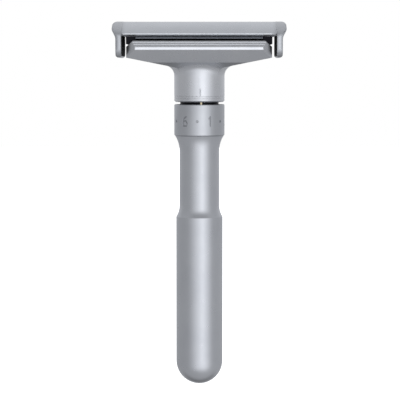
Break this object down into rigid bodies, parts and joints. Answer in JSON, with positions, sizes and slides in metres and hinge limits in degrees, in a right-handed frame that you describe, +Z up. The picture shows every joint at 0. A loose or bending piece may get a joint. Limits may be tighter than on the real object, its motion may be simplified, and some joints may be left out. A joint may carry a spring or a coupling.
{
  "type": "adjustable safety razor",
  "caption": "Adjustable double-edge safety razor with a satin metal handle, numbered dial ring and wide head; turning the handle raises the blade between its guard bars.",
  "frame": {"origin": "lowest point of the domed handle end, on the handle axis", "axes": "+Z up the handle to the head, +X along the blade, -Y is the front"},
  "size_m": [0.0508, 0.026, 0.108],
  "materials": {
    "satin_chrome": "satin chrome plating",
    "black_bearing": "blackened metal",
    "spring_steel": "drawn spring wire",
    "plain_steel": "machined",
    "blade_steel": "bright ground blade steel",
    "brass": "machined",
    "seal_rubber": "smooth",
    "bearing_polymer": "plain"
  },
  "bodies": {
    "head": {"guard_head": "satin_chrome", "bearing_sleeve": "black_bearing", "retaining_ring": "spring_steel", "friction_ring": "seal_rubber", "guide_pins": "plain_steel", "spring_seat": "plain_steel", "return_spring": "spring_steel"},
    "handle": {"handle_grip": "satin_chrome", "dial_ring": "satin_chrome", "lift_nut": "brass", "thrust_washer": "bearing_polymer", "stop_pin": "brass"},
    "carriage": {"blade_bed": "black_bearing", "bed_cover": "plain_steel", "cover_screws": "plain_steel", "lift_spindle": "plain_steel", "spindle_screw": "plain_steel", "clip_springs": "spring_steel"},
    "cap": {"cap": "satin_chrome", "cap_studs": "plain_steel"},
    "blade": {"razor_blade": "blade_steel"}
  },
  "joints": [
    {"name": "dial_turn", "type": "hinge", "parent": "head", "child": "handle", "pos_m": [0, 0, 0.08], "axis": [0, 0, -1], "range_deg": [0, 330]},
    {"name": "carriage_lift", "type": "slide", "parent": "head", "child": "carriage", "axis": [0, 0, 1], "range_m": [0, 0.00115], "deforming": ["return_spring"]},
    {"name": "cap_lift", "type": "slide", "parent": "carriage", "child": "cap", "axis": [0, 0, 1], "range_m": [0, 0.02]},
    {"name": "blade_lift", "type": "slide", "parent": "carriage", "child": "blade", "axis": [0, 0, 1], "range_m": [0, 0.01]}
  ],
  "couplings": [
    {"joint": "dial_turn", "follows": "carriage_lift", "rad_per_m": 5026.5},
    {"joint": "blade_lift", "follows": "cap_lift", "ratio": 0.5}
  ]
}
